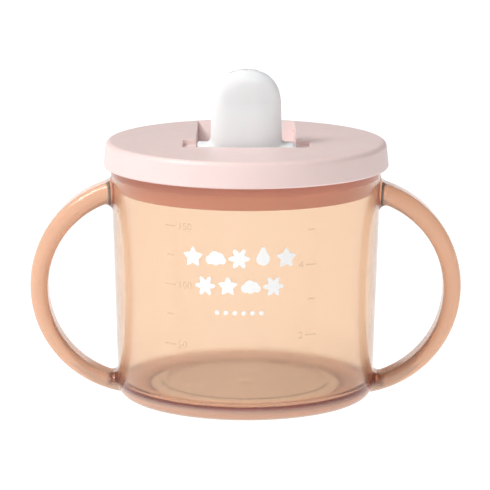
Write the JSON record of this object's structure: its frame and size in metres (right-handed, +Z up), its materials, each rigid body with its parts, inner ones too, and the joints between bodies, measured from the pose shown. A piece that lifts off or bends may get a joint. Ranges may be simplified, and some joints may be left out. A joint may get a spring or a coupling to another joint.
{
  "type": "sippy cup",
  "caption": "Translucent training cup with loop handles, a round push-on lid and a tongue-shaped spout that folds back into a slot in the lid.",
  "frame": {"origin": "centre of the cup's base, on the surface that it stands on", "axes": "+Z up; +X along the line of the handles, to the right handle; the drinker's side with the spout is -Y, and the spout folds back towards +Y"},
  "size_m": [0.1112, 0.0734, 0.0856],
  "materials": {
    "cup_tint": "translucent peach polypropylene, smooth",
    "lid_pink": "pale pink polypropylene, satin",
    "spout_white": "white polypropylene, satin to gloss"
  },
  "bodies": {
    "cup": {"cup_body": "cup_tint", "left_handle": "cup_tint", "right_handle": "cup_tint"},
    "lid": {"lid_cap": "lid_pink", "plug_ring": "lid_pink", "spout_well": "lid_pink"},
    "spout": {"spout": "spout_white", "left_hinge_pin": "spout_white", "right_hinge_pin": "spout_white"}
  },
  "joints": [
    {"name": "lid_lift", "type": "slide", "parent": "cup", "child": "lid", "axis": [0, 0, 1], "range_m": [0, 0.03]},
    {"name": "spout_fold", "type": "hinge", "parent": "lid", "child": "spout", "pos_m": [0, -0.0064, 0.0613], "axis": [-1, 0, 0], "range_deg": [0, 90]}
  ]
}
